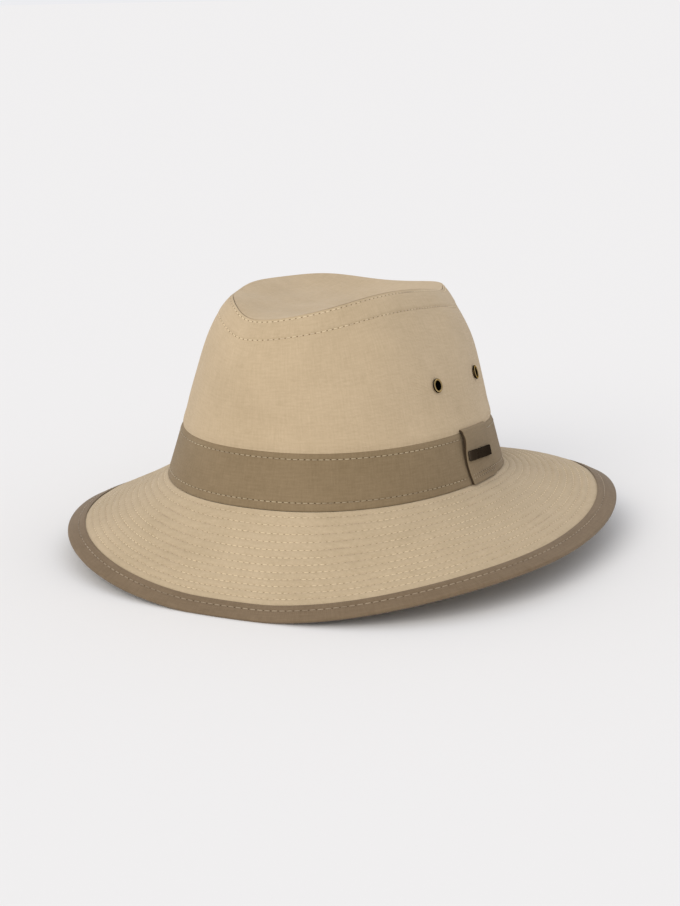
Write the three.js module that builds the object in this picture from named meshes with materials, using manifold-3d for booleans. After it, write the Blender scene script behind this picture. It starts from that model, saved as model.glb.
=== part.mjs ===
// Cotton traveller hat: a tall crown with a dented oval tip, a drooping brim with a bound edge,
// a cloth band with a keeper tab and a small bare metal plate, and four vent eyelets.
// Millimetres, +Z up. The front of the hat points to -Y and the wearer's left side to +X.
import * as THREE from 'three';
import { mergeVertices } from 'three/addons/utils/BufferGeometryUtils.js';
import Module from 'manifold-3d';

const wasm = await Module();
wasm.setup();

// Head oval, outside the band at its bottom edge
const headHalfWidth = 88;
const headHalfLength = 103;
const ovalPower = 2.23;
const clearance = 0.3;

// Hat band
const bandHeight = 27.8;
const bandWall = 1.4;
const bandTaperWidth = 7.5;
const bandTaperLength = 8.5;
const bandEdgeRound = 0.5;

// Crown, its heights measured from the band's bottom edge to the seam round the tip
const crownWall = 1.8;
const crownHeight = 99.8;
const crownBulge = 4.6;
const crownHollow = 1.1;
const crownFill = 1.2;
const tipHalfWidth = 46.5;
const tipHalfLength = 84;
const tipSetBack = 1.5;
const tipDent = 9;

// Brim, its width measured along the slope from the band to the edge
const brimWidth = 63;
const brimWall = 2;
const brimEdgeWall = 1;
const brimSag = 4;

// Droop of the brim below the level, in degrees: the mean and how it changes round the head.
// The worn cloth hangs unevenly: lower on the wearer's right, and twisted from side to side.
const droopMean = 27.3;
const droopFrontToBack = 12;
const droopSides = 6.7;
const droopThirds = 0.7;
const droopQuarters = 2.9;
const droopLean = -3.6;
const droopTwist = 3.8;

// Tape folded over the brim's edge
const bindingWidth = 12.3;
const bindingWall = 1;
const bindingFoldWall = 1.6;

// How far the cloth gives where the hat rests on its brim
const restLift = 1.2;
const restFlat = 0.6;

// Keeper tab folded over the band on the wearer's left, and the plate on it
const tabWidth = 33.5;
const tabWall = 1.2;
const tabStand = 1.4;
const tabBow = 2.5;
const plateLength = 28.5;
const plateHeight = 5.4;
const plateWall = 0.9;
const plateCorner = 0.8;
const plateRise = 15.2;
const plateForward = 3.2;
const plateTilt = 2.5;

// Vent eyelets, two on each side
const eyeletSpacing = 53;
const eyeletHeight = 55.3;
const eyeletRadius = 3.9;
const eyeletBore = 1.85;
const eyeletWall = 0.5;
const eyeletRim = 0.8;
const washerRadius = 3.6;
const eyeletSeat = 0.45;

// Waves round the head for cos(k * angle), k = 0, 1, 2 and so on, as shares of the named size;
// twists are the same for sin(k * angle)
const tipRimWaves = [0, 0, -0.04, -0.0175, -0.008]; // of crownHeight
const brimSeamWaves = [0, 0, -0.0226]; // of headHalfLength
const brimWidthWaves = [0, -0.015, -0.026]; // of brimWidth
const brimSagWaves = [0.12, 0.97, -0.25, 0.15]; // of brimSag: hollow in front, arched behind
const brimSagTwists = [0, -0.12, 0.15]; // of brimSag
const bandTopFollows = 0.7; // of the brim seam's wave

// Steps of the faceted surfaces
const aroundSteps = 72;
const eyeletSteps = 12;
const tabColumns = 8;
const tabShares = [0.35, 0.6, 0.84];
const crownShares = [0, 0.04, 0.12, 0.25, 0.4, 0.56, 0.72, 0.88, 1];
const brimShares = [0.14, 0.32, 0.5, 0.68];
const tipShares = [0.3, 0.58, 0.82];
const foldSteps = 6;

// Materials
function cloth(color, roughness) {
  return new THREE.MeshStandardMaterial({ color, roughness, metalness: 0 });
}

const khakiCotton = cloth('#c9b28e', 0.92);
const taupeCotton = cloth('#8f7d61', 0.92);
const taupeTape = cloth('#86735b', 0.9);
const darkBronze = new THREE.MeshStandardMaterial({ color: '#3a322b', roughness: 0.42, metalness: 1 });
const antiqueBrass = new THREE.MeshStandardMaterial({ color: '#6e5c3c', roughness: 0.4, metalness: 1 });

// Plain helpers
function waves(shares, angle, twists = []) {
  const even = shares.reduce((sum, share, k) => sum + share * Math.cos(k * angle), 0);
  return twists.reduce((sum, share, k) => sum + share * Math.sin(k * angle), even);
}

function mix(a, b, share) {
  return a.clone().lerp(b, share);
}

function moved(point, direction, distance) {
  return point.clone().addScaledVector(direction, distance);
}

// Point of an oval: angle 0 is the front, a quarter turn is the wearer's left
function oval(halfWidth, halfLength, angle, height) {
  const side = Math.sin(angle);
  const front = Math.cos(angle);
  const power = 2 / ovalPower;
  const x = halfWidth * Math.sign(side) * Math.abs(side) ** power;
  const y = -halfLength * Math.sign(front) * Math.abs(front) ** power;
  return new THREE.Vector3(x, y, height);
}

// Level direction straight out of such an oval
function outwardOf(point, halfWidth, halfLength) {
  const power = ovalPower - 1;
  const x = Math.sign(point.x) * Math.abs(point.x / halfWidth) ** power / halfWidth;
  const y = Math.sign(point.y) * Math.abs(point.y / halfLength) ** power / halfLength;
  return new THREE.Vector3(x, y, 0).normalize();
}

// The band's outer face, at its bottom edge and at its top edge
function bandFoot(angle) {
  const height = headHalfLength * waves(brimSeamWaves, angle);
  return oval(headHalfWidth, headHalfLength, angle, height);
}

function bandHead(angle) {
  const height = bandHeight + bandTopFollows * headHalfLength * waves(brimSeamWaves, angle);
  return oval(headHalfWidth - bandTaperWidth, headHalfLength - bandTaperLength, angle, height);
}

function headOutward(angle) {
  return outwardOf(bandFoot(angle), headHalfWidth, headHalfLength);
}

// The crown's outer face under the band: share 0 at the band's foot, 1 at its head
function crownUnderBand(angle, share) {
  const inset = -(bandWall + clearance);
  return moved(mix(bandFoot(angle), bandHead(angle), share), headOutward(angle), inset);
}

// The crown's outer face above the band: share 0 at the band's head, 1 at the seam round the tip
function tipSeam(angle) {
  const height = crownHeight * (1 + waves(tipRimWaves, angle));
  const point = oval(tipHalfWidth, tipHalfLength, angle, height);
  point.y += tipSetBack;
  return point;
}

function crownFace(angle, share) {
  const fill = crownFill * (1 - (2 * share - 1) ** 8);
  const bulge = crownBulge * Math.sin(Math.PI * share);
  const swell = fill + bulge - crownHollow * Math.sin(2 * Math.PI * share);
  return moved(mix(crownUnderBand(angle, 1), tipSeam(angle), share), headOutward(angle), swell);
}

// Direction out of a surface given as face(angle, share), by small steps on it
function faceNormal(face, angle, share) {
  const step = 0.004;
  const along = face(angle + step, share).sub(face(angle - step, share));
  const up = face(angle, share + step).sub(face(angle, share - step));
  return along.cross(up).normalize();
}

// Where the side panel and the tip are sewn together: the seam's inner edge, and its direction
function seamInward(angle) {
  const seam = tipSeam(angle);
  seam.y -= tipSetBack;
  return outwardOf(seam, tipHalfWidth, tipHalfLength).negate();
}

function seamInnerEdge(angle) {
  const inward = seamInward(angle).multiplyScalar(0.5);
  inward.z = -0.87;
  return moved(tipSeam(angle), inward, crownWall);
}

function acrossSeam(angle) {
  const across = seamInward(angle).multiplyScalar(0.87);
  across.z = 0.5;
  return across;
}

// The brim's reference face, before it is pressed: distance 0 at the band, brimReach at the edge
function brimReach(angle) {
  return brimWidth * (1 + waves(brimWidthWaves, angle));
}

function droop(angle) {
  const even = [droopMean, droopFrontToBack, droopSides, droopThirds, droopQuarters];
  return THREE.MathUtils.degToRad(waves(even, angle, [0, droopLean, droopTwist]));
}

function brimFree(angle, distance) {
  const share = distance / brimReach(angle);
  const sag = brimSag * waves(brimSagWaves, angle, brimSagTwists);
  const point = moved(bandFoot(angle), headOutward(angle), distance * Math.cos(droop(angle)));
  point.z -= clearance + distance * Math.sin(droop(angle)) + sag * 4 * share * (1 - share);
  return point;
}

// Direction up and out of the brim's reference face
function brimUp(angle, distance) {
  const slope = brimFree(angle, distance + 0.5).sub(brimFree(angle, distance - 0.5)).normalize();
  const outward = headOutward(angle);
  const level = slope.dot(outward);
  return moved(new THREE.Vector3(0, 0, level), outward, -slope.z).normalize();
}

// Half thickness of the bound edge, and the middle of its fold
const clothMiddle = -brimWall / 2;
const edgeHalf = brimEdgeWall / 2 + clearance + bindingWall;

function foldMiddle(angle) {
  const distance = brimReach(angle) - edgeHalf;
  return moved(brimFree(angle, distance), brimUp(angle, distance), clothMiddle);
}

// The surface that the hat rests on, seen from the hat: it touches the brim at front and back
const frontFold = foldMiddle(0);
const backFold = foldMiddle(Math.PI);
const restPitch = Math.atan2(backFold.z - frontFold.z, backFold.y - frontFold.y);
const floorUp = new THREE.Vector3(0, -Math.sin(restPitch), Math.cos(restPitch));
const floorHeight = frontFold.dot(floorUp) - edgeHalf + restLift;

function restGive(angle) {
  const lowest = foldMiddle(angle).dot(floorUp) - edgeHalf;
  return Math.max(0, floorHeight - restFlat - lowest);
}

// The brim's reference face as it lies at rest, and a point at a distance above it
function brimAt(angle, distance, above) {
  const share = distance / brimReach(angle);
  const point = moved(brimFree(angle, distance), brimUp(angle, distance), above);
  return moved(point, floorUp, restGive(angle) * share * share);
}

function pressed(point) {
  const depth = floorHeight - point.dot(floorUp);
  return moved(point, floorUp, Math.max(0, depth));
}

// Closed meshes
function closedMesh(points, faces) {
  const geometry = new THREE.BufferGeometry();
  geometry.setAttribute('position', new THREE.Float32BufferAttribute(points.flatMap((p) => p.toArray()), 3));
  geometry.setIndex(faces.flat());
  return geometry;
}

function quad(a, b, c, d) {
  return [a, b, c, a, c, d];
}

// A closed section carried right round the head; section(angle) lists its corners outside first
function ringSolid(section) {
  const points = [];
  const faces = [];
  let corners = 0;
  for (let i = 0; i < aroundSteps; i += 1) {
    const loop = section((2 * Math.PI * i) / aroundSteps);
    corners = loop.length;
    points.push(...loop);
  }
  for (let i = 0; i < aroundSteps; i += 1) {
    const here = i * corners;
    const next = ((i + 1) % aroundSteps) * corners;
    for (let j = 0; j < corners; j += 1) {
      const k = (j + 1) % corners;
      faces.push(quad(here + j, next + j, next + k, here + k));
    }
  }
  return closedMesh(points, faces);
}

// A closed section carried along a row of columns, with flat ends
function rowSolid(columns, outline) {
  const corners = outline.length;
  const points = columns.flat();
  const faces = [];
  for (let i = 0; i + 1 < columns.length; i += 1) {
    for (let j = 0; j < corners; j += 1) {
      const k = (j + 1) % corners;
      const here = i * corners;
      const next = here + corners;
      faces.push(quad(here + j, next + j, next + k, here + k));
    }
  }
  const last = (columns.length - 1) * corners;
  const ends = THREE.ShapeUtils.triangulateShape(outline, []);
  ends.forEach(([a, b, c]) => {
    faces.push([a, b, c]);
    faces.push([last + c, last + b, last + a]);
  });
  return closedMesh(points, faces);
}

function toManifold(geometry) {
  const bare = mergeVertices(geometry);
  const vertProperties = bare.attributes.position.array;
  const triVerts = new Uint32Array(bare.index.array);
  return new wasm.Manifold(new wasm.Mesh({ numProp: 3, vertProperties, triVerts }));
}

function fromManifold(solid) {
  const mesh = solid.getMesh();
  const geometry = new THREE.BufferGeometry();
  geometry.setAttribute('position', new THREE.BufferAttribute(mesh.vertProperties, 3));
  geometry.setIndex(new THREE.BufferAttribute(mesh.triVerts, 1));
  return geometry;
}

// Crown side: one wall from the brim's underside to the seam round the tip
function crownSideSection(angle) {
  const foot = -(clearance + brimWall) / bandHeight;
  const outside = [crownUnderBand(angle, foot), crownUnderBand(angle, 0.5)];
  const inside = outside.map((point) => moved(point, headOutward(angle), -crownWall));
  crownShares.forEach((share) => {
    const point = crownFace(angle, share);
    outside.push(point);
    inside.push(moved(point, faceNormal(crownFace, angle, share), -crownWall));
  });
  const gap = acrossSeam(angle).multiplyScalar(-clearance / 2);
  outside[outside.length - 1] = tipSeam(angle).add(gap);
  inside[inside.length - 1] = seamInnerEdge(angle).add(gap);
  return [...outside, ...inside.reverse()];
}

// Tip: the dented oval panel inside the seam, share 0 at its middle and 1 at the seam
function tipFace(angle, share) {
  const seam = tipSeam(angle);
  const rise = tipRimWaves.reduce((sum, wave, k) => sum + wave * Math.cos(k * angle) * share ** k, 1);
  const height = crownHeight * rise - tipDent * (1 - share * share);
  return new THREE.Vector3(seam.x * share, tipSetBack + (seam.y - tipSetBack) * share, height);
}

function tipSolid() {
  const middle = tipFace(0, 0);
  const points = [middle, moved(middle, new THREE.Vector3(0, 0, 1), -crownWall)];
  const faces = [];
  const rings = 2 * (tipShares.length + 1);
  for (let i = 0; i < aroundSteps; i += 1) {
    const angle = (2 * Math.PI * i) / aroundSteps;
    const gap = acrossSeam(angle).multiplyScalar(clearance / 2);
    const over = tipShares.map((share) => tipFace(angle, share));
    const under = over.map((point) => moved(point, new THREE.Vector3(0, 0, 1), -crownWall));
    points.push(...over, tipSeam(angle).add(gap), seamInnerEdge(angle).add(gap), ...under.reverse());
  }
  for (let i = 0; i < aroundSteps; i += 1) {
    const here = 2 + i * rings;
    const next = 2 + ((i + 1) % aroundSteps) * rings;
    faces.push([0, here, next]);
    for (let j = 0; j + 1 < rings; j += 1) {
      faces.push(quad(here + j, here + j + 1, next + j + 1, next + j));
    }
    faces.push([1, next + rings - 1, here + rings - 1]);
  }
  return closedMesh(points, faces);
}

// Brim: one quilted wall from the crown to the fold of its tape
function brimRoot(angle, drop) {
  return moved(crownUnderBand(angle, -drop / bandHeight), headOutward(angle), clearance);
}

function brimSection(angle) {
  const reach = brimReach(angle);
  const tapeStart = reach - bindingWidth;
  const edge = reach - bindingFoldWall - clearance;
  const free = [...brimShares.map((share) => share * reach), tapeStart - brimWall];
  const above = [0, ...free].map((distance) => brimAt(angle, distance, 0));
  const below = free.map((distance) => brimAt(angle, distance, -brimWall));
  const half = brimEdgeWall / 2;
  [tapeStart - clearance, edge].forEach((distance) => {
    above.push(brimAt(angle, distance, clothMiddle + half));
    below.push(brimAt(angle, distance, clothMiddle - half));
  });
  above.unshift(brimRoot(angle, clearance));
  below.unshift(brimRoot(angle, clearance + brimWall));
  return [...below, ...above.reverse()];
}

// Binding: a tape folded over the brim's edge, pressed flat where the hat rests
function bindingSection(angle) {
  const reach = brimReach(angle);
  const start = reach - bindingWidth;
  const slotHalf = brimEdgeWall / 2 + clearance;
  const slotEnd = reach - bindingFoldWall;
  const fold = [];
  for (let i = 0; i <= foldSteps; i += 1) {
    const turn = (Math.PI * i) / foldSteps - Math.PI / 2;
    const distance = reach - edgeHalf + edgeHalf * Math.cos(turn);
    fold.push(brimAt(angle, distance, clothMiddle + edgeHalf * Math.sin(turn)));
  }
  const outside = [
    brimAt(angle, start, clothMiddle - edgeHalf),
    ...fold,
    brimAt(angle, start, clothMiddle + edgeHalf),
  ];
  const inside = [
    brimAt(angle, start, clothMiddle + slotHalf),
    brimAt(angle, slotEnd, clothMiddle + slotHalf),
    brimAt(angle, slotEnd, clothMiddle - slotHalf),
    brimAt(angle, start, clothMiddle - slotHalf),
  ];
  return [...outside.map(pressed), ...inside];
}

// Hat band: a plain cloth ring round the crown's foot
function bandSection(angle) {
  const outward = headOutward(angle);
  const foot = bandFoot(angle);
  const head = bandHead(angle);
  const round = bandEdgeRound / bandHeight;
  return [
    moved(foot, outward, -bandWall),
    foot,
    mix(foot, head, 1 - round),
    moved(head, outward, -bandEdgeRound),
    moved(head, outward, -bandWall),
  ];
}

// The band's outer face on the wearer's left: y along the hat, share 0 at the foot and 1 at the head
function bandSide(y, share) {
  const halfWidth = headHalfWidth - bandTaperWidth * share;
  const halfLength = headHalfLength - bandTaperLength * share;
  const x = halfWidth * (1 - Math.abs(y / halfLength) ** ovalPower) ** (1 / ovalPower);
  const angle = Math.atan2(x / halfWidth, -y / halfLength);
  const height = THREE.MathUtils.lerp(bandFoot(angle).z, bandHead(angle).z, share);
  return new THREE.Vector3(x, y, height);
}

function bandSideOutward(y, share) {
  return outwardOf(bandSide(y, share), headHalfWidth, headHalfLength);
}

// How far the tab stands off the band: most at its front edge, just below the fold
function tabOff(y, share) {
  const front = 0.5 - y / tabWidth;
  const up = THREE.MathUtils.clamp(share, 0, 1);
  return clearance + tabStand * front * Math.sin(Math.PI * up ** 4);
}

// A point of the tab; its front edge bows forwards half way up
function tabPoint(y, out, height) {
  const share = height / bandHeight;
  const front = 0.5 - y / tabWidth;
  const bowed = y - tabBow * front * Math.sin(Math.PI * THREE.MathUtils.clamp(share, 0, 1));
  return moved(bandSide(bowed, share), bandSideOutward(bowed, share), out);
}

// Outline of the tab's section: out from the band's face, up above the band's foot
function tabOutline(y) {
  const foot = clearance;
  const head = bandHeight + clearance;
  const top = head + tabWall;
  const round = tabWall / 2;
  const heights = [foot, ...tabShares.map((share) => bandHeight * share)];
  const inner = heights.map((height) => [tabOff(y, height / bandHeight), height]);
  const outer = inner.map(([out, height]) => [out + tabWall, height]);
  const over = [[clearance + tabWall, head], [clearance + round, top - round / 3], [0, top]];
  return [...outer, ...over, [-bandWall, top], [-bandWall, head], [clearance, head], ...inner.reverse()];
}

function tabSolid() {
  const columns = [];
  for (let i = 0; i <= tabColumns; i += 1) {
    const y = tabWidth * (i / tabColumns - 0.5);
    columns.push(tabOutline(y).map(([out, height]) => tabPoint(y, out, height)));
  }
  const outline = tabOutline(0).map(([out, height]) => new THREE.Vector2(out, height));
  return rowSolid(columns, outline);
}

// Plate: a thin bar bent to the tab, with clipped corners, its rear end a little lower
function plateSolid() {
  const half = plateLength / 2;
  const corner = plateCorner / 2;
  const slope = Math.tan(THREE.MathUtils.degToRad(plateTilt));
  const stations = [-half, -half + corner, -half / 2, 0, half / 2, half - corner, half];
  const columns = stations.map((y) => {
    const clipped = Math.max(0, Math.abs(y) - half + corner);
    const rise = plateHeight / 2 - clipped;
    return [[0, -rise], [plateWall, -rise], [plateWall, rise], [0, rise]].map(([out, up]) => {
      const share = (plateRise + up - y * slope) / bandHeight;
      const along = y - plateForward;
      const off = tabOff(along, share) + tabWall + clearance;
      return moved(bandSide(along, share), bandSideOutward(along, share), off + out);
    });
  });
  const outline = [[0, 0], [1, 0], [1, 1], [0, 1]].map(([out, up]) => new THREE.Vector2(out, up));
  return rowSolid(columns, outline);
}

// Place of an eyelet on the crown's outer face, and the direction that it looks
function eyeletPlace(sideSign, y) {
  let angle = Math.PI / 2;
  let share = 0.5;
  for (let pass = 0; pass < 40; pass += 1) {
    const low = crownFace(angle, 0).z;
    share = (eyeletHeight - low) / (crownFace(angle, 1).z - low);
    angle += (y - crownFace(angle, share).y) / headHalfLength;
  }
  const turn = sideSign * angle;
  return { point: crownFace(turn, share), outward: faceNormal(crownFace, turn, share) };
}

function turnTo(object, place) {
  object.position.copy(place.point);
  object.quaternion.setFromUnitVectors(new THREE.Vector3(0, 1, 0), place.outward);
}

// Eyelet: a rolled rim outside, a barrel through the wall and a washer inside
function eyeletSolid() {
  const barrel = eyeletBore + eyeletWall;
  const inside = -(crownWall + eyeletSeat);
  const profile = [
    [barrel, eyeletSeat],
    [eyeletRadius, eyeletSeat],
    [eyeletRadius, eyeletSeat + eyeletRim / 2],
    [(eyeletRadius + barrel) / 2, eyeletSeat + eyeletRim],
    [eyeletBore, eyeletSeat + eyeletRim / 2],
    [eyeletBore, inside - eyeletWall],
    [washerRadius, inside - eyeletWall],
    [washerRadius, inside],
    [barrel, inside],
    [barrel, eyeletSeat],
  ];
  return new THREE.LatheGeometry(profile.map(([r, y]) => new THREE.Vector2(r, y)), eyeletSteps);
}

// A cutter for the eyelet's hole, clear of the barrel at its flats
function holeCutter(place) {
  const radius = (eyeletBore + eyeletWall + clearance) / Math.cos(Math.PI / eyeletSteps);
  const cutter = new THREE.Mesh(new THREE.CylinderGeometry(radius, radius, 8 * crownWall, eyeletSteps));
  turnTo(cutter, place);
  cutter.updateMatrix();
  const geometry = cutter.geometry.applyMatrix4(cutter.matrix);
  geometry.deleteAttribute('normal');
  geometry.deleteAttribute('uv');
  return toManifold(geometry);
}

const eyeletPlaces = [];
[['left', 1], ['right', -1]].forEach(([side, sign]) => {
  [['front', -1], ['rear', 1]].forEach(([end, along]) => {
    eyeletPlaces.push({ name: `eyelet_${side}_${end}`, ...eyeletPlace(sign, (along * eyeletSpacing) / 2) });
  });
});

function crownSideSolid() {
  const wall = toManifold(ringSolid(crownSideSection));
  const pierced = eyeletPlaces.reduce((solid, place) => solid.subtract(holeCutter(place)), wall);
  return fromManifold(pierced);
}

// The hat in its own frame, its head opening level
const hat = new THREE.Group();

function add(name, geometry, material) {
  const mesh = new THREE.Mesh(geometry, material);
  mesh.name = name;
  hat.add(mesh);
  return mesh;
}

add('crown_side', crownSideSolid(), khakiCotton);
add('crown_tip', tipSolid(), khakiCotton);
add('brim', ringSolid(brimSection), khakiCotton);
add('brim_binding', ringSolid(bindingSection), taupeTape);
add('hat_band', ringSolid(bandSection), taupeCotton);
add('band_tab', tabSolid(), taupeCotton);
add('tab_plate', plateSolid(), darkBronze);
eyeletPlaces.forEach((place) => turnTo(add(place.name, eyeletSolid(), antiqueBrass), place));

// Laid on a level surface: pitched until front and back brim touch, over the origin
hat.rotation.x = -restPitch;
hat.updateMatrixWorld(true);
const box = new THREE.Box3().setFromObject(hat, true);
const middle = box.getCenter(new THREE.Vector3());
hat.position.set(-middle.x, -middle.y, -box.min.z);

const part = new THREE.Group();
part.add(hat);

export default part;
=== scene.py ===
import math
from bisect import bisect_right
from functools import cache

import bmesh
import bpy
from mathutils import Matrix, Vector, noise


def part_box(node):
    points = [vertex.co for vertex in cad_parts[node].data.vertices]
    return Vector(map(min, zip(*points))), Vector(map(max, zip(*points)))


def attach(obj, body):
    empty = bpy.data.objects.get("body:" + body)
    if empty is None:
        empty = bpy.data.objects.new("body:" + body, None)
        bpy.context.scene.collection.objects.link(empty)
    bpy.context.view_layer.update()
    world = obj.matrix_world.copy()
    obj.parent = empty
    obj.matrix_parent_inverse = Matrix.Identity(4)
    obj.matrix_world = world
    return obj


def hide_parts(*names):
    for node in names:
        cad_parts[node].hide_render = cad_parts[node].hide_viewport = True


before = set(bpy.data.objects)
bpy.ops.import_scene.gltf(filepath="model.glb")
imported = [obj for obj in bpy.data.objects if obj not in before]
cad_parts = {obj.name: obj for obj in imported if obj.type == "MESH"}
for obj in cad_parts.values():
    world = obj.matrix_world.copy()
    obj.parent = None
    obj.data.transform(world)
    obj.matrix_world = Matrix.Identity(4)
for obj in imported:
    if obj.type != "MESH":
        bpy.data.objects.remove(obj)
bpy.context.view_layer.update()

# Brim
# Two layers of khaki cotton quilted together by rings of stitching and sewn to the crown's foot.
# It droops steeply at the front, least towards the back, and the whole hat rests on it.
mm = 0.001
head_half_width = 88 * mm
head_half_length = 103 * mm
oval_power = 2.23
clearance = 0.3 * mm
brim_width = 63.5 * mm
brim_wall = 2 * mm
brim_edge_wall = 1 * mm
brim_sag = 4 * mm
brim_arches = [(-104, 26, 2.4 * mm), (140, 24, 1.4 * mm)]
arch_scale = 27 / 4
brim_sag_waves = [0.12, 0.97, -0.25, 0.15]
brim_sag_twists = [0, -0.12, 0.15]
droop_degrees = [28.05, 12, 5.95, 0.7, 2.9]
droop_twist_degrees = [0, -3.6, 3.8]
droop_places = [(-82, 16, -2.2), (-112, 20, 1.2), (-38, 18, 1.3), (58, 28, -1.7)]
brim_seam_waves = [0, 0, -0.0226]
brim_width_waves = [0, -0.01488, -0.03367]
binding_width = 11.2 * mm
binding_wall = 1 * mm
binding_fold_wall = 1.6 * mm
rest_lift = 1.2 * mm
rest_flat = 0.6 * mm
quilt_rows = 12
quilt_first = 2.4 * mm
quilt_spacing = 4.1 * mm
quilt_puff = 0.5 * mm
quilt_roundness = 0.6
quilt_samples = [0, 0.12, 0.3, 0.5, 0.7, 0.88]
brim_wobble_size = 34 * mm
brim_wobble = 0.5 * mm
brim_columns = 420
slope_step = 0.5 * mm
stitch_pitch = 3.3 * mm
stitch_gap = 0.9 * mm
thread_radius = 0.22 * mm
needle_radius = 0.3 * mm
band_height = 27.8 * mm
band_wall = 1.4 * mm
band_taper_width = 7.5 * mm
band_taper_length = 8.5 * mm
band_top_follows = 0.7


def waves(shares, angle, twists=()):
    """Shares of cos(k * angle) and twists of sin(k * angle), k from 0. The angle is 0 in front."""
    even = sum(share * math.cos(k * angle) for k, share in enumerate(shares))
    return even + sum(share * math.sin(k * angle) for k, share in enumerate(twists))


def signed_power(value, power):
    return math.copysign(abs(value) ** power, value)


def oval(half_width, half_length, angle, height):
    power = 2 / oval_power
    x = half_width * signed_power(math.sin(angle), power)
    y = -half_length * signed_power(math.cos(angle), power)
    return Vector((x, y, height))


def outward_of(point, half_width, half_length):
    power = oval_power - 1
    x = signed_power(point.x / half_width, power) / half_width
    y = signed_power(point.y / half_length, power) / half_length
    return Vector((x, y, 0)).normalized()


@cache
def band_foot(angle):
    height = head_half_length * waves(brim_seam_waves, angle)
    return oval(head_half_width, head_half_length, angle, height)


@cache
def band_head(angle):
    height = band_height + band_top_follows * head_half_length * waves(brim_seam_waves, angle)
    half_width = head_half_width - band_taper_width
    half_length = head_half_length - band_taper_length
    return oval(half_width, half_length, angle, height)


@cache
def head_outward(angle):
    return outward_of(band_foot(angle), head_half_width, head_half_length)


@cache
def brim_reach(angle):
    return brim_width * (1 + waves(brim_width_waves, angle))


def near(angle, degrees, spread):
    """1 at a place round the head, positive on the wearer's left, fading to 0 away from it."""
    away = (angle - math.radians(degrees)) % (2 * math.pi)
    away = min(away, 2 * math.pi - away)
    return math.exp(-(away / math.radians(spread)) ** 2)


@cache
def droop(angle):
    degrees = waves(droop_degrees, angle, droop_twist_degrees)
    degrees += sum(more * near(angle, place, spread) for place, spread, more in droop_places)
    return math.radians(degrees)


@cache
def sag(angle):
    """Hollow in front and arched behind."""
    return brim_sag * waves(brim_sag_waves, angle, brim_sag_twists)


@cache
def arch(angle):
    """How much each side of the brim rises before it turns down again at its edge."""
    return sum(rise * near(angle, place, spread) for place, spread, rise in brim_arches)


def brim_free(angle, distance):
    """The brim's upper face at a distance from the band, before the hat is set down."""
    share = distance / brim_reach(angle)
    point = band_foot(angle) + head_outward(angle) * distance * math.cos(droop(angle))
    point.z -= clearance + distance * math.sin(droop(angle)) + sag(angle) * 4 * share * (1 - share)
    point.z += arch(angle) * arch_scale * share * share * (1 - share)
    return point


def brim_up(angle, distance):
    """The direction straight out of the brim's upper face."""
    slope = brim_free(angle, distance + slope_step) - brim_free(angle, distance - slope_step)
    outward = head_outward(angle)
    return (Vector((0, 0, slope.dot(outward))) - outward * slope.z).normalized()


cloth_middle = -brim_wall / 2
edge_half = brim_edge_wall / 2 + clearance + binding_wall


def fold_middle(angle):
    distance = brim_reach(angle) - edge_half
    return brim_free(angle, distance) + brim_up(angle, distance) * cloth_middle


front_fold = fold_middle(0)
back_fold = fold_middle(math.pi)
rest_pitch = math.atan2(back_fold.z - front_fold.z, back_fold.y - front_fold.y)
floor_up = Vector((0, -math.sin(rest_pitch), math.cos(rest_pitch)))
floor_height = front_fold.dot(floor_up) - edge_half + rest_lift


@cache
def rest_give(angle):
    """How far the floor pushes the brim's edge up."""
    lowest = fold_middle(angle).dot(floor_up) - edge_half
    return max(0, floor_height - rest_flat - lowest)


def brim_at(angle, distance, above):
    """The brim of the hat set down, at a height above its upper face."""
    share = distance / brim_reach(angle)
    lift = floor_up * rest_give(angle) * share * share
    return brim_free(angle, distance) + brim_up(angle, distance) * above + lift


# The hat is pitched until front and back of its brim touch the floor. The solid of its band says
# where it stands there.
pitched = Matrix.Rotation(-rest_pitch, 4, "X")
band_low, band_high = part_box("hat_band")
aside = (band_low[0] + band_high[0]) / 2
set_back = band_high[1] - (pitched @ band_foot(math.pi)).y
laid = Matrix.Translation((aside, set_back, -floor_height)) @ pitched


def round_the_head(columns):
    return [2 * math.pi * column / columns for column in range(columns)]


def face_outwards():
    """Turn the faces of the active piece outwards."""
    bpy.ops.object.mode_set(mode="EDIT")
    bpy.ops.mesh.select_all(action="SELECT")
    bpy.ops.mesh.normals_make_consistent(inside=False)
    bpy.ops.object.mode_set(mode="OBJECT")


def cloth_grid(name, columns, rows, place):
    """Carry every corner of a flat grid to its place, then close the seams where edges meet."""
    bpy.ops.object.select_all(action="DESELECT")
    bpy.ops.mesh.primitive_grid_add(x_subdivisions=columns, y_subdivisions=rows, size=1)
    cloth = bpy.context.object
    cloth.name = name
    uv_layer = cloth.data.uv_layers.active
    corner_uv = {}
    for vertex in cloth.data.vertices:
        column = round((vertex.co.x + 0.5) * columns)
        row = round((vertex.co.y + 0.5) * rows)
        point, corner_uv[vertex.index] = place(column, row)
        vertex.co = laid @ point
    for loop in cloth.data.loops:
        uv_layer.data[loop.index].uv = corner_uv[loop.vertex_index]
    bpy.ops.object.mode_set(mode="EDIT")
    bpy.ops.mesh.select_all(action="SELECT")
    bpy.ops.mesh.remove_doubles(threshold=0.002 * mm)
    bpy.ops.object.mode_set(mode="OBJECT")
    face_outwards()
    bpy.ops.object.shade_smooth_by_angle(angle=math.radians(50))
    return cloth


def cloth_ring(name, columns, section):
    """A closed section carried right round the head from its back, its texture laid in metres."""
    girth = 2 * math.pi * math.sqrt(head_half_width * head_half_length)
    loops = [section(angle - math.pi) for angle in round_the_head(columns)]
    rows = len(loops[0])
    lengths = [0]
    for here, there in zip(loops[0], loops[0][1:] + loops[0][:1]):
        lengths.append(lengths[-1] + (there - here).length)

    def place(column, row):
        point = loops[column % columns][row % rows]
        return point, (girth * column / columns, lengths[row])

    return cloth_grid(name, columns, rows, place)


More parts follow.
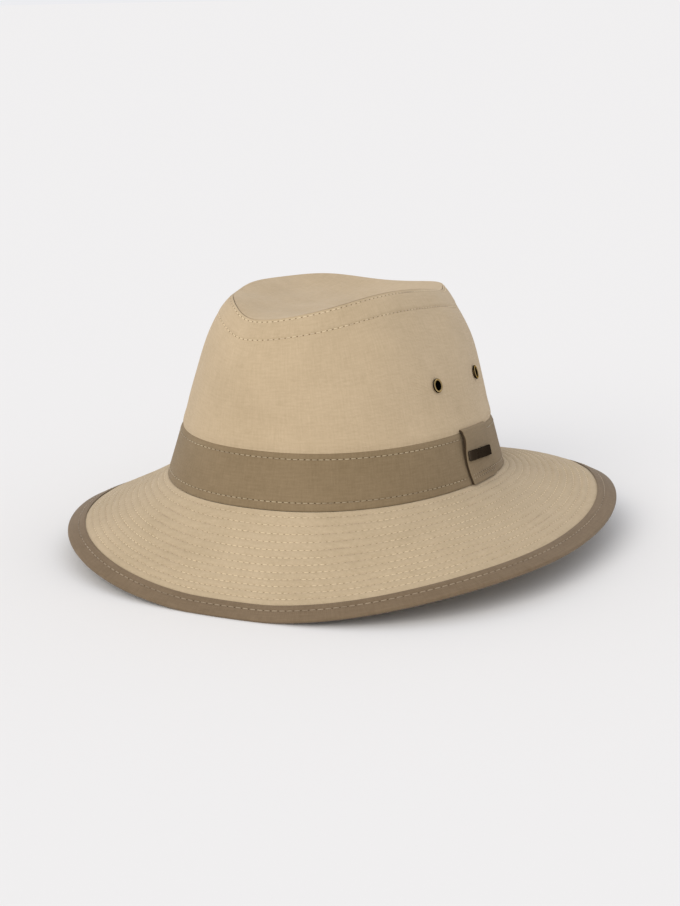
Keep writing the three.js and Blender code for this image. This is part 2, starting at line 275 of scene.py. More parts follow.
def quilted_distances(reach):
    """Stations across the brim, close together at each row of stitching."""
    scale = reach / brim_width
    rows = [(quilt_first + row * quilt_spacing) * scale for row in range(quilt_rows)]
    stations = [0, 1 * mm, 2 * mm]
    for row in rows[:-1]:
        stations += [row + share * quilt_spacing * scale for share in quilt_samples]
    return rows, stations + [rows[-1], rows[-1] + 0.5 * mm, rows[-1] + 2 * mm]


def quilt_puff_at(distance, reach):
    """The cloth swells between two rows and is drawn in at each."""
    scale = reach / brim_width
    phase = (distance / scale - quilt_first) / quilt_spacing
    if phase < 0 or phase > quilt_rows - 1:
        phase = min(abs(phase), abs(phase - quilt_rows + 1), 0.5)
    return quilt_puff * (abs(math.sin(math.pi * phase)) ** quilt_roundness - 1)


def soft_wobble(point, size, depth):
    """Slow unevenness of handled cloth."""
    return depth * noise.noise(point / size)


def brim_skin(angle, distance, side):
    """Side 1 is the upper face, side -1 the underside."""
    reach = brim_reach(angle)
    share = distance / reach
    swell = quilt_puff_at(distance, reach)
    fade = share * (1 - share) * 4
    wobble = soft_wobble(brim_free(angle, distance), brim_wobble_size, brim_wobble) * fade
    middle = cloth_middle + wobble
    return brim_at(angle, distance, middle + side * (brim_wall / 2 + swell))


def brim_root(angle, drop):
    """Where the brim ends under the band, at a drop below the band's foot."""
    share = -drop / band_height
    return band_foot(angle).lerp(band_head(angle), share) - head_outward(angle) * band_wall


def brim_section(angle):
    reach = brim_reach(angle)
    start = reach - binding_width
    half = brim_edge_wall / 2
    _, stations = quilted_distances(reach)
    above = [brim_root(angle, clearance)]
    above += [brim_skin(angle, distance, 1) for distance in stations]
    below = [brim_root(angle, clearance + brim_wall)]
    below += [brim_skin(angle, distance, -1) for distance in stations[3:]]
    for distance in (start - clearance, reach - binding_fold_wall - clearance):
        above.append(brim_at(angle, distance, cloth_middle + half))
        below.append(brim_at(angle, distance, cloth_middle - half))
    return below + above[::-1]


def add_node(tree, kind, inputs, **settings):
    node = tree.nodes.new(kind)
    for name, value in settings.items():
        setattr(node, name, value)
    for socket, value in inputs.items():
        if isinstance(value, bpy.types.NodeSocket):
            tree.links.new(value, node.inputs[socket])
        else:
            node.inputs[socket].default_value = value
    return node


def hex_colour(code):
    """An sRGB hex value as the linear colour that a shader wants."""
    parts = [int(code[i:i + 2], 16) / 255 for i in (1, 3, 5)]
    linear = [c / 12.92 if c <= 0.04045 else ((c + 0.055) / 1.055) ** 2.4 for c in parts]
    return (*linear, 1)


def bare_material(name):
    """A new material with its node tree empty."""
    material = bpy.data.materials.new(name)
    material.use_nodes = True
    material.node_tree.nodes.clear()
    return material, material.node_tree


def finish_shader(tree, inputs):
    shader = add_node(tree, "ShaderNodeBsdfPrincipled", inputs)
    add_node(tree, "ShaderNodeOutputMaterial", {"Surface": shader.outputs["BSDF"]})


weave_spacing = 0.7 * mm
weave_depth = 0.5
bands_per_unit = 20 / (2 * math.pi)  # Blender's band texture at a scale of 1
slub_stretches = ((110, 900, 110), (900, 110, 900))


def woven_cotton(name, pale, deep, coordinates):
    """Plain-woven cotton: matt, a fine square weave with thicker slub threads, faintly uneven dye.

    The real threads are about 0.3 mm apart, which is too fine to show, so they are drawn wider.
    """
    material, tree = bare_material(name)
    source = add_node(tree, "ShaderNodeTexCoord", {})
    where = source.outputs[coordinates]
    wave_scale = 1 / (bands_per_unit * weave_spacing)
    threads = []
    for direction in ("X", "Y"):
        wave = add_node(tree, "ShaderNodeTexWave", {
            "Vector": where, "Scale": wave_scale, "Distortion": 0.9, "Detail": 1,
            "Detail Scale": 0.4,
        }, wave_type="BANDS", bands_direction=direction)
        threads.append(wave.outputs["Fac"])
    weave = add_node(tree, "ShaderNodeMath", {0: threads[0], 1: threads[1]}, operation="ADD")
    slubs = []
    for stretch in slub_stretches:
        mapped = add_node(tree, "ShaderNodeMapping", {"Vector": where, "Scale": stretch})
        slub = add_node(tree, "ShaderNodeTexNoise", {
            "Vector": mapped.outputs["Vector"], "Scale": 1, "Detail": 2, "Roughness": 0.6,
        })
        slubs.append(slub.outputs["Fac"])
    slub_sum = add_node(tree, "ShaderNodeMath", {0: slubs[0], 1: slubs[1]}, operation="ADD")
    dye = add_node(tree, "ShaderNodeTexNoise", {
        "Vector": where, "Scale": 26, "Detail": 3, "Roughness": 0.55,
    })
    fleck = add_node(tree, "ShaderNodeTexNoise", {
        "Vector": where, "Scale": 700, "Detail": 2, "Roughness": 0.7,
    })
    tone = add_node(tree, "ShaderNodeMath", {
        0: slub_sum.outputs[0], 1: 0.85, 2: dye.outputs["Fac"],
    }, operation="MULTIPLY_ADD")
    tone = add_node(tree, "ShaderNodeMath", {
        0: fleck.outputs["Fac"], 1: 0.5, 2: tone.outputs[0],
    }, operation="MULTIPLY_ADD")
    share = add_node(tree, "ShaderNodeMapRange", {
        "Value": tone.outputs[0], "From Min": 1.08, "From Max": 2.12,
    })
    colour = add_node(tree, "ShaderNodeMix", {
        0: share.outputs["Result"], 6: hex_colour(deep), 7: hex_colour(pale),
    }, data_type="RGBA")
    height = add_node(tree, "ShaderNodeMath", {
        0: slub_sum.outputs[0], 1: 1.6, 2: weave.outputs[0],
    }, operation="MULTIPLY_ADD")
    bump = add_node(tree, "ShaderNodeBump", {
        "Height": height.outputs[0], "Strength": weave_depth, "Distance": 0.12 * mm,
    })
    finish_shader(tree, {
        "Base Color": colour.outputs[2], "Normal": bump.outputs["Normal"], "Roughness": 0.92,
        "Specular IOR Level": 0.25, "Sheen Weight": 0.12, "Sheen Roughness": 0.45,
    })
    return material


def wear(piece, material, *nodes, slot):
    """Give a piece its finish, let it ride on the hat and stand for its solids."""
    piece.data.materials.clear()
    piece.data.materials.append(material)
    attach(piece, "root")
    if nodes:
        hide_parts(*nodes)


def seam_walk(row, closed, pitch):
    """Fit whole stitches to a row: their step and count, and the place at a distance along it.

    A row is a closed or open list of (point, outward direction) pairs along the seam.
    """
    path = [laid @ point for point, _ in row]
    outs = [laid.to_3x3() @ out for _, out in row]
    if closed:
        path.append(path[0])
        outs.append(outs[0])
    reach = [0]
    for here, there in zip(path, path[1:]):
        reach.append(reach[-1] + (there - here).length)
    count = max(1, round(reach[-1] / pitch))

    def place(distance):
        segment = min(bisect_right(reach, distance), len(reach) - 1) - 1
        part = (distance - reach[segment]) / (reach[segment + 1] - reach[segment])
        centre = path[segment].lerp(path[segment + 1], part)
        out = outs[segment].lerp(outs[segment + 1], part).normalized()
        along = (path[segment + 1] - path[segment]).normalized()
        return centre, out, along.cross(out).normalized()

    return reach[-1] / count, count, place


def small_shapes(name, points, faces):
    """Hundreds of small shapes as one mesh with its faces turned outwards."""
    mesh = bpy.data.meshes.new(name)
    mesh.from_pydata(points, [], faces)
    shapes = bpy.data.objects.new(name, mesh)
    bpy.context.collection.objects.link(shapes)
    skin = bmesh.new()
    skin.from_mesh(mesh)
    bmesh.ops.recalc_face_normals(skin, faces=skin.faces)
    skin.to_mesh(mesh)
    skin.free()
    mesh.shade_smooth()
    return shapes


def sew(name, rows, pitch, gap, radius):
    """Rows of lockstitch: each stitch is a short thread that dips in at both ends.

    A ring of it lies at (share of its length, height and thickness in radii of the thread).
    """
    corners = 5
    dips = [(0, -0.85, 0.55), (0.16, 0.3, 1), (0.84, 0.3, 1), (1, -0.85, 0.55)]
    points = []
    faces = []
    for row, closed in rows:
        step, count, place = seam_walk(row, closed, pitch)
        for stitch in range(count):
            base = len(points)
            for share, height, thickness in dips:
                centre, out, side = place(stitch * step + gap / 2 + share * (step - gap))
                centre = centre + out * radius * height
                for corner in range(corners):
                    turn = 2 * math.pi * corner / corners
                    spoke = out * math.sin(turn) + side * math.cos(turn)
                    points.append(centre + spoke * radius * thickness)
            for ring in range(len(dips) - 1):
                for corner in range(corners):
                    a = base + ring * corners + corner
                    b = base + ring * corners + (corner + 1) % corners
                    faces.append((a, b, b + corners, a + corners))
            last = base + (len(dips) - 1) * corners
            faces.append(tuple(base + corner for corner in reversed(range(corners))))
            faces.append(tuple(last + corner for corner in range(corners)))
    return small_shapes(name, points, faces)


def needle_hole_shadows(name, rows, pitch, radius):
    """The dark pricks between the stitches, each a flat lens of painted shade that just shows in
    the cloth, for the shadow in the hole.
    """
    corners = 6
    points = []
    faces = []
    for row, closed in rows:
        step, count, place = seam_walk(row, closed, pitch)
        for stitch in range(count):
            centre, out, side = place(stitch * step)
            base = len(points)
            points += [centre + out * radius * 0.3, centre - out * radius * 0.5]
            for corner in range(corners):
                turn = 2 * math.pi * corner / corners
                spoke = side * math.cos(turn) + out.cross(side) * math.sin(turn)
                points.append(centre + spoke * radius + out * radius * 0.1)
            for corner in range(corners):
                a = base + 2 + corner
                b = base + 2 + (corner + 1) % corners
                faces += [(base, a, b), (base + 1, b, a)]
    return small_shapes(name, points, faces)


def spun_thread(name, lit, shaded):
    """Mercerised cotton thread: smoother than the cloth, with patches of painted highlight and
    painted shade along it.
    """
    material, tree = bare_material(name)
    source = add_node(tree, "ShaderNodeTexCoord", {})
    fibre = add_node(tree, "ShaderNodeTexNoise", {
        "Vector": source.outputs["Object"], "Scale": 1800, "Detail": 1,
    })
    # Broad patches of painted highlight and painted shade along the thread, for its glint and for
    # the shadow of its groove.
    glint_patches = add_node(tree, "ShaderNodeTexNoise", {
        "Vector": source.outputs["Object"], "Scale": 30, "Detail": 5, "Roughness": 0.75,
    })
    glint_share = add_node(tree, "ShaderNodeMapRange", {
        "Value": glint_patches.outputs["Fac"], "From Min": 0.34, "From Max": 0.56,
    })
    colour = add_node(tree, "ShaderNodeMix", {
        0: glint_share.outputs["Result"], 6: hex_colour(shaded), 7: hex_colour(lit),
    }, data_type="RGBA")
    bump = add_node(tree, "ShaderNodeBump", {
        "Height": fibre.outputs["Fac"], "Strength": 0.3, "Distance": 0.05 * mm,
    })
    finish_shader(tree, {
        "Base Color": colour.outputs[2], "Normal": bump.outputs["Normal"], "Roughness": 0.42,
        "Specular IOR Level": 0.6,
    })
    return material


def shaded_cotton(name, code):
    """Painted shade: a flat dark cloth colour for the shadow inside a needle hole or in a fold."""
    material, tree = bare_material(name)
    finish_shader(tree, {
        "Base Color": hex_colour(code), "Roughness": 1, "Specular IOR Level": 0,
    })
    return material


# The brim's khaki is a shade darker than the crown's, as painted shade for its flatter face under
# the light.
khaki_flat = woven_cotton("khaki_cotton_brim", "#c1ae91", "#ad9b7e", "Object")
khaki_thread = spun_thread("khaki_thread", "#dccaa8", "#a8937a")
# Painted shade for the needle holes of the khaki cloth.
khaki_shaded = shaded_cotton("khaki_cotton_shaded", "#7f6c53")

brim = cloth_ring("brim_cloth", brim_columns, brim_section)
wear(brim, khaki_flat, "brim", slot="khaki_cotton")


def quilt_ring(row, side):
    """The line of one row of quilting, with its way out of the cloth."""
    path = []
    for angle in round_the_head(brim_columns):
        distance = quilted_distances(brim_reach(angle))[0][row]
        path.append((brim_skin(angle, distance, side), brim_up(angle, distance) * side))
    return path, True


for side, name in ((1, "brim_stitches_above"), (-1, "brim_stitches_below")):
    quilting = [quilt_ring(row, side) for row in range(quilt_rows)]
    thread = sew(name, quilting, stitch_pitch, stitch_gap, thread_radius)
    wear(thread, khaki_thread, slot="khaki_cotton")
    holes = needle_hole_shadows(f"{name}_holes", quilting, stitch_pitch, needle_radius)
    wear(holes, khaki_shaded, slot="khaki_cotton")

# Brim binding
# A taupe cotton tape folded over the brim's raw edge and held by one row of stitching.
# Where the hat rests, its fold is pressed flat against the floor.
binding_columns = 360
fold_steps = 14
tape_stitch_inset = 3.9 * mm
tape_pitch = 3.9 * mm
tape_draw = 0.15 * mm
tape_draw_width = 0.5 * mm
tape_edge_draw = 0.3 * mm
tape_edge_width = 1.6 * mm
tape_half = 1.35 * mm
tape_thread_radius = 0.26 * mm
tape_needle_radius = 0.34 * mm
tape_stations = [0, 0.25, 0.6, 1.2, 2.2, 3, 3.5, 3.9, 4.3, 4.9, 6, 7.8]


def pressed(point):
    """Lift what would lie under the floor onto it."""
    depth = floor_height - point.dot(floor_up)
    return point + floor_up * max(0, depth)


def tape_swell(inset):
    """The tape's face is rounded at its sewn edge and drawn in along the stitches."""
    edge = -tape_edge_draw * max(0, 1 - inset / tape_edge_width) ** 2
    drawn = -tape_draw * math.exp(-((inset - tape_stitch_inset) / tape_draw_width) ** 2)
    return edge + drawn


def tape_face(angle, inset, side):
    distance = brim_reach(angle) - binding_width + inset
    return brim_at(angle, distance, cloth_middle + side * (tape_half + tape_swell(inset)))


def binding_section(angle):
    reach = brim_reach(angle)
    start = reach - binding_width
    slot_half = brim_edge_wall / 2 + clearance
    slot_end = reach - binding_fold_wall
    flat = [inset * mm for inset in tape_stations]
    fold = []
    for step in range(fold_steps + 1):
        turn = math.pi * step / fold_steps - math.pi / 2
        distance = reach - tape_half + tape_half * math.cos(turn)
        fold.append(brim_at(angle, distance, cloth_middle + tape_half * math.sin(turn)))
    outside = [tape_face(angle, inset, -1) for inset in flat] + fold
    outside += [tape_face(angle, inset, 1) for inset in reversed(flat)]
    inside = [
        brim_at(angle, start, cloth_middle + slot_half),
        brim_at(angle, slot_end, cloth_middle + slot_half),
        brim_at(angle, slot_end, cloth_middle - slot_half),
        brim_at(angle, start, cloth_middle - slot_half),
    ]
    return [pressed(point) for point in outside] + inside


taupe_tape = woven_cotton("taupe_cotton_tape", "#82705a", "#6c5b46", "UV")
tape_thread = spun_thread("taupe_thread", "#a3927a", "#75644f")
# Painted shade for the needle holes of the taupe cloth and for the tab's front edge.
taupe_shaded = shaded_cotton("taupe_cotton_shaded", "#4a3e30")

binding = cloth_ring("binding_tape", binding_columns, binding_section)
wear(binding, taupe_tape, "brim_binding", slot="taupe_tape")


def tape_ring(side):
    path = []
    for angle in round_the_head(binding_columns):
        distance = brim_reach(angle) - binding_width + tape_stitch_inset
        out = brim_up(angle, distance) * side
        path.append((tape_face(angle, tape_stitch_inset, side), out))
    return path, True


tape_rows = [tape_ring(1), tape_ring(-1)]
thread = sew("binding_stitches", tape_rows, tape_pitch, stitch_gap, tape_thread_radius)
wear(thread, tape_thread, slot="taupe_tape")
holes = needle_hole_shadows("binding_needle_holes", tape_rows, tape_pitch, tape_needle_radius)
wear(holes, taupe_shaded, slot="taupe_tape")

# Crown side
# One khaki cotton wall from the brim to the seam round the tip, pierced by four eyelets.
# Two rows of stitching run below the seam, and the soft cloth stands a little unevenly.
crown_wall = 1.8 * mm
crown_height = 99.8 * mm
crown_bulge = 4.6 * mm
crown_hollow = 1.1 * mm
crown_fill = 1.2 * mm
tip_half_width = 46.5 * mm
tip_half_length = 84 * mm
tip_set_back = 1.5 * mm
tip_rim_waves = [0, 0, -0.04, -0.0175, -0.008]
tip_rim_dents = [(-60, 17, -3.6 * mm), (-15, 18, -2.7 * mm), (44, 24, -1.6 * mm)]
tip_rim_dents += [(-126, 28, 2.4 * mm), (116, 18, -2.6 * mm), (160, 24, 1 * mm)]
crown_columns = 320
crown_coarse_rows = 46
crown_fine_rows = 34
crown_pitch = 3.1 * mm
crown_thread_radius = 0.28 * mm
crown_needle_radius = 0.38 * mm
seam_stitch_drop = 1.5 * mm
seam_ridge_drop = 10.5 * mm
seam_ridge = 0.35 * mm
seam_ridge_edge = 0.6 * mm
seam_ridge_slope = 0.35 * mm
seam_draw = 0.26 * mm
seam_draw_width = 0.55 * mm
seam_sink = 0.45 * mm
seam_roll = 5 * mm
seam_across = 0.87
seam_along = 0.5
band_swell = 1.2 * mm
band_swell_height = 7 * mm
crown_wobbles = [(46 * mm, 1.3 * mm), (21 * mm, 0.45 * mm)]
crown_wobble_fade = 14 * mm
angle_step = 0.004
eyelet_spacing = 53 * mm
eyelet_height = 55.3 * mm
eyelet_radius = 3.9 * mm
eyelet_bore = 2.45 * mm
eyelet_wall = 0.3 * mm
punch_depth = 14 * mm


def crown_under_band(angle, share):
    """The crown's face behind the band, at a share of the band's height."""
    inset = band_wall + clearance
    return band_foot(angle).lerp(band_head(angle), share) - head_outward(angle) * inset


@cache
def tip_seam(angle):
    height = crown_height * (1 + waves(tip_rim_waves, angle))
    height += sum(rise * near(angle, place, spread) for place, spread, rise in tip_rim_dents)
    point = oval(tip_half_width, tip_half_length, angle, height)
    point.y += tip_set_back
    return point


def crown_face(angle, share):
    """The crown's smooth outer face, at a share of the way from the band to the seam."""
    swell = crown_fill * (1 - (2 * share - 1) ** 8) + crown_bulge * math.sin(math.pi * share)
    swell -= crown_hollow * math.sin(2 * math.pi * share)
    straight = crown_under_band(angle, 1).lerp(tip_seam(angle), share)
    return straight + head_outward(angle) * swell


def face_normal(face, angle, share):
    along = face(angle + angle_step, share) - face(angle - angle_step, share)
    up = face(angle, share + angle_step) - face(angle, share - angle_step)
    return along.cross(up).normalized()


def seam_inward(angle):
    seam = tip_seam(angle).copy()
    seam.y -= tip_set_back
    return -outward_of(seam, tip_half_width, tip_half_length)


def seam_inner_edge(angle):
    """The seam's edge inside the crown, where the two panels' walls meet at a slant."""
    inward = seam_inward(angle) * seam_along
    inward.z = -seam_across
    return tip_seam(angle) + inward * crown_wall


def across_seam(angle):
    """The direction from the side panel to the tip, square to the seam's slant."""
    across = seam_inward(angle) * seam_across
    across.z = seam_along
    return across


def crown_length(angle):
    """How far it is up the crown's face from the band to the seam."""
    stations = [crown_face(angle, step / 12) for step in range(13)]
    return sum((b - a).length for a, b in zip(stations, stations[1:]))


def sunk_seam(angle):
    """The seam's own line: both panels roll over into it, a little inside the crown's corner."""
    point = tip_seam(angle) + seam_inward(angle) * seam_sink
    point.z -= seam_sink
    return point


def crown_relief(angle, share, length):
    """Soft unevenness, the ridge of the seam's turned edge and the draw of its stitches.

    The cloth swells over the band's top edge, so that the two lie flush.
    """
    drop = (1 - share) * length
    point = crown_face(angle, share)
    slow = sum(soft_wobble(point, size, depth) for size, depth in crown_wobbles)
    slow *= min(1, drop / crown_wobble_fade) * min(1, share * 5)
    below_ridge = drop - seam_ridge_drop + seam_ridge_edge
    ridge = seam_ridge / (1 + math.exp(below_ridge / seam_ridge_slope))
    for stitch_drop in (seam_stitch_drop, seam_ridge_drop):
        ridge -= seam_draw * math.exp(-((drop - stitch_drop) / seam_draw_width) ** 2)
    edge = seam_sink * max(0, 1 - drop / seam_roll) ** 2
    above_band = share * length
    swell = band_swell * math.exp(-(above_band / band_swell_height) ** 2)
    return slow + ridge - edge + swell


def crown_skin(angle, share, length):
    out = face_normal(crown_face, angle, share)
    return crown_face(angle, share) + out * crown_relief(angle, share, length)


def crown_shares(length):
    """Even stations up the wall, with closer ones near the two rows of stitching."""
    top = (seam_ridge_drop + 2 * mm) / length
    coarse = [step / crown_coarse_rows * (1 - top) for step in range(crown_coarse_rows)]
    fine = [1 - top * (1 - step / crown_fine_rows) for step in range(crown_fine_rows)]
    return coarse + fine


def crown_side_section(angle):
    length = crown_length(angle)
    foot = -(clearance + brim_wall) / band_height
    outside = [crown_under_band(angle, share) for share in (foot, 0.25, 0.6, 0.9)]
    inside = [point - head_outward(angle) * crown_wall for point in outside[:3]]
    outside += [crown_skin(angle, share, length) for share in crown_shares(length)[1:]]
    for share in (0, 0.1, 0.2, 0.3, 0.4, 0.5, 0.6, 0.7, 0.8, 0.9):
        out = face_normal(crown_face, angle, share)
        inside.append(crown_face(angle, share) - out * crown_wall)
    gap = across_seam(angle) * (-clearance / 2)
    outside.append(sunk_seam(angle) + gap)
    inside.append(seam_inner_edge(angle) + gap)
    return outside + inside[::-1]


def eyelet_place(side_sign, y):
    """Where an eyelet sits on the crown's face, and the direction that it looks."""
    angle = math.pi / 2
    share = 0.5
    for _ in range(40):
        low = crown_face(angle, 0).z
        share = (eyelet_height - low) / (crown_face(angle, 1).z - low)
        angle += (y - crown_face(angle, share).y) / head_half_length
    turn = side_sign * angle
    return crown_face(turn, share), face_normal(crown_face, turn, share)


eyelet_places = {}
for side_name, side_sign in (("left", 1), ("right", -1)):
    for end_name, end_sign in (("front", -1), ("rear", 1)):
        place = eyelet_place(side_sign, end_sign * eyelet_spacing / 2)
        eyelet_places[f"eyelet_{side_name}_{end_name}"] = place


def turned_to(place):
    """The matrix that stands a piece made along +Z on the crown, looking outwards."""
    point, outward = place
    spin = outward.to_track_quat("Z", "X").to_matrix().to_4x4()
    return laid @ Matrix.Translation(point) @ spin


def pierce(cloth):
    """Cut the eyelets' holes through a wall."""
    bpy.ops.object.select_all(action="DESELECT")
    punches = []
    for place in eyelet_places.values():
        radius = eyelet_bore + eyelet_wall + clearance
        bpy.ops.mesh.primitive_cylinder_add(vertices=24, radius=radius, depth=punch_depth)
        punch = bpy.context.object
        punch.data.transform(turned_to(place))
        punches.append(punch)
    for punch in punches:
        punch.select_set(True)
    bpy.ops.object.join()
    joined = bpy.context.object
    bpy.context.view_layer.objects.active = cloth
    cut = cloth.modifiers.new("holes", "BOOLEAN")
    cut.operation = "DIFFERENCE"
    cut.solver = "EXACT"
    cut.object = joined
    bpy.ops.object.modifier_apply(modifier=cut.name)
    bpy.data.objects.remove(joined)


khaki_wrapped = woven_cotton("khaki_cotton_crown", "#c8b394", "#b4a081", "UV")

crown_side = cloth_ring("crown_side_cloth", crown_columns, crown_side_section)
pierce(crown_side)
wear(crown_side, khaki_wrapped, "crown_side", slot="khaki_cotton")


def crown_ring(drop):
    path = []
    for angle in round_the_head(crown_columns):
        length = crown_length(angle)
        share = 1 - drop / length
        out = face_normal(crown_face, angle, share)
        path.append((crown_skin(angle, share, length), out))
    return path, True


crown_seams = [crown_ring(seam_stitch_drop), crown_ring(seam_ridge_drop)]
thread = sew("crown_stitches", crown_seams, crown_pitch, stitch_gap, crown_thread_radius)
wear(thread, khaki_thread, slot="khaki_cotton")
holes = needle_hole_shadows("crown_needle_holes", crown_seams, crown_pitch, crown_needle_radius)
wear(holes, khaki_shaded, slot="khaki_cotton")

# Crown tip
# The oval top panel of the same khaki cotton, sewn into the crown's seam and pressed into a
# long shallow dent.
tip_dent = 9 * mm
tip_wall = 1.5 * mm
tip_columns = 240
tip_shares = [step / 30 for step in range(28)] + [0.945, 0.96, 0.972, 0.982, 0.991, 1]
tip_wobble_size = 24 * mm
tip_wobble = 0.7 * mm
tip_wobble_fade = 10 * mm
crease_size = 30 * mm
crease_depth = 1.2 * mm
crease_squeeze = (2.4, 0.6)
tip_turn = 1.5 * mm
tip_roll = 0.7 * seam_roll


def tip_face(angle, share):
    """The panel's smooth face, at a share of the way from its middle to the seam."""
    seam = tip_seam(angle)
    rise = 1 + sum(
        wave * math.cos(k * angle) * share ** k for k, wave in enumerate(tip_rim_waves)
    )
    dents = seam.z - crown_height * (1 + waves(tip_rim_waves, angle))
    height = crown_height * rise - tip_dent * (1 - share * share) + dents * share ** 4
    y = tip_set_back + (seam.y - tip_set_back) * share
    return Vector((seam.x * share, y, height))


def tip_skin(angle, share):
    """The dented panel, its rim turned down into the seam."""
    point = tip_face(angle, share)
    from_rim = (1 - share) * tip_half_width
    fade = min(1, from_rim / tip_wobble_fade)
    creased = Vector((point.x * crease_squeeze[0], point.y * crease_squeeze[1], 0.3))
    crease = soft_wobble(creased, crease_size, crease_depth)
    slow = soft_wobble(point, tip_wobble_size, tip_wobble) + crease
    rolled = max(0, 1 - from_rim / tip_turn)
    point.z += slow * fade - seam_sink * max(0, 1 - from_rim / tip_roll) ** 2
    return point + (seam_inward(angle) * seam_sink + across_seam(angle) * (clearance / 2)) * rolled


def tip_place(column, row):
    """Out from the middle to the seam along the top, and back along the underside."""
    angle = 2 * math.pi * (column % tip_columns) / tip_columns
    stations = len(tip_shares)
    if row < stations:
        point = tip_skin(angle, tip_shares[row])
    elif row == stations:
        point = seam_inner_edge(angle) + across_seam(angle) * (clearance / 2)
    else:
        point = tip_skin(angle, tip_shares[2 * stations - 1 - row]) - Vector((0, 0, tip_wall))
    return point, (point.x, point.y)


crown_tip = cloth_grid("crown_tip_cloth", tip_columns, 2 * len(tip_shares) - 1, tip_place)
wear(crown_tip, khaki_wrapped, "crown_tip", slot="khaki_cotton")

# Hat band
# A taupe cotton band round the crown's foot, hemmed by a row of stitching along each edge.
band_columns = 360
band_hem = 3.2 * mm
band_foot_hem = 4 * mm
band_draw = 0.16 * mm
band_draw_width = 0.5 * mm
band_foot_draw = 0.3 * mm
band_foot_round = 0.7 * mm
band_top_draw = 0.9 * mm
band_top_round = 2.6 * mm
band_top_inset = 1.1 * mm
band_wobble_size = 30 * mm
band_wobble = 0.35 * mm
band_foot_stations = [0.02, 0.3, 0.9, 2, 3.2, 3.6, 4, 4.4, 4.8]
band_middle_stations = [6.5, 9, 12, 15, 18, 21, 23]
band_top_stations = [24, 24.3, 24.6, 25, 25.8, 26.8, 27.4]
band_stations = band_foot_stations + band_middle_stations + band_top_stations
band_thread_radius = 0.27 * mm
band_needle_radius = 0.36 * mm
tab_half_angle = 0.17


def band_relief(rise):
    """The hems stand a little proud, and each row of stitches draws the cloth in."""
    drawn = 0
    for line in (band_foot_hem, band_height - band_hem):
        drawn -= band_draw * math.exp(-((rise - line) / band_draw_width) ** 2)
    foot_edge = band_foot_draw * max(0, 1 - rise / band_foot_round) ** 2
    top_edge = band_top_draw * max(0, 1 - (band_height - rise) / band_top_round) ** 2
    return drawn - foot_edge - top_edge


def band_face(angle, rise):
    share = rise / band_height
    point = band_foot(angle).lerp(band_head(angle), share)
    slow = soft_wobble(point, band_wobble_size, band_wobble) * math.sin(math.pi * share)
    return point + head_outward(angle) * (band_relief(rise) + slow)


def band_section(angle):
    outward = head_outward(angle)
    outside = [band_face(angle, rise * mm) for rise in band_stations]
    head = band_head(angle)
    return [
        band_foot(angle) - outward * band_wall,
        *outside,
        head - outward * band_top_inset,
        head - outward * band_wall,
    ]


taupe_cotton = woven_cotton("taupe_cotton_band", "#8f7c60", "#7b694e", "UV")
band_thread = spun_thread("band_thread", "#b8a788", "#82715a")

hat_band = cloth_ring("hat_band_cloth", band_columns, band_section)
wear(hat_band, taupe_cotton, "hat_band", slot="taupe_cotton")


def band_ring(rise):
    """The whole way round but for the stretch under the tab."""
    path = []
    for column in range(band_columns + 1):
        turn = (2 * math.pi - 2 * tab_half_angle) * column / band_columns
        angle = math.pi / 2 + tab_half_angle + turn
        path.append((band_face(angle, rise), head_outward(angle)))
    return path, False


band_rows = [band_ring(band_foot_hem), band_ring(band_height - band_hem)]
thread = sew("band_stitches", band_rows, stitch_pitch, stitch_gap, band_thread_radius)
wear(thread, band_thread, slot="taupe_cotton")
holes = needle_hole_shadows("band_needle_holes", band_rows, stitch_pitch, band_needle_radius)
wear(holes, taupe_shaded, slot="taupe_cotton")

# Band tab
# A keeper of the band's own cloth, folded over its top edge on the wearer's left and sewn down
# at its foot. Its front edge bows forwards and stands a little off the band below the fold.
tab_width = 33.5 * mm
tab_wall = 1.2 * mm
tab_stand = 1.4 * mm
tab_bow = 2.5 * mm
tab_middle_wall = 0.9
tab_wall_taper = 0.55
tab_columns = 44
tab_rise_steps = 22
tab_fold_steps = 8
tab_pitch = 2.6 * mm
tab_row_rises = (3.4 * mm, 5.2 * mm)
tab_row_length = tab_width - 3 * mm
tab_row_steps = 29
tab_thread_radius = 0.25 * mm
tab_needle_radius = 0.34 * mm
soft_edge = 0.25 * mm
sharp_angle = math.radians(60)


def bevelled(piece, name, width, segments, limit="ANGLE"):
    """Round the edges sharper than 60 degrees, or only those that carry a weight."""
    rounding = piece.modifiers.new(name, "BEVEL")
    rounding.width = width
    rounding.segments = segments
    rounding.limit_method = limit
    rounding.angle_limit = sharp_angle
    bpy.ops.object.modifier_apply(modifier=rounding.name)


def band_side(y, share):
    """The band's face on the wearer's left, at a distance behind the head's middle."""
    half_width = head_half_width - band_taper_width * share
    half_length = head_half_length - band_taper_length * share
    x = half_width * (1 - abs(y / half_length) ** oval_power) ** (1 / oval_power)
    angle = math.atan2(x / half_width, -y / half_length)
    low = band_foot(angle).z
    height = low + (band_head(angle).z - low) * share
    return Vector((x, y, height))


def band_side_outward(y, share):
    return outward_of(band_side(y, share), head_half_width, head_half_length)


def tab_off(y, share):
    """How far the tab's inner face stands off the band."""
    front = 0.5 - y / tab_width
    return clearance + tab_stand * front * math.sin(math.pi * min(1, max(0, share)) ** 4)


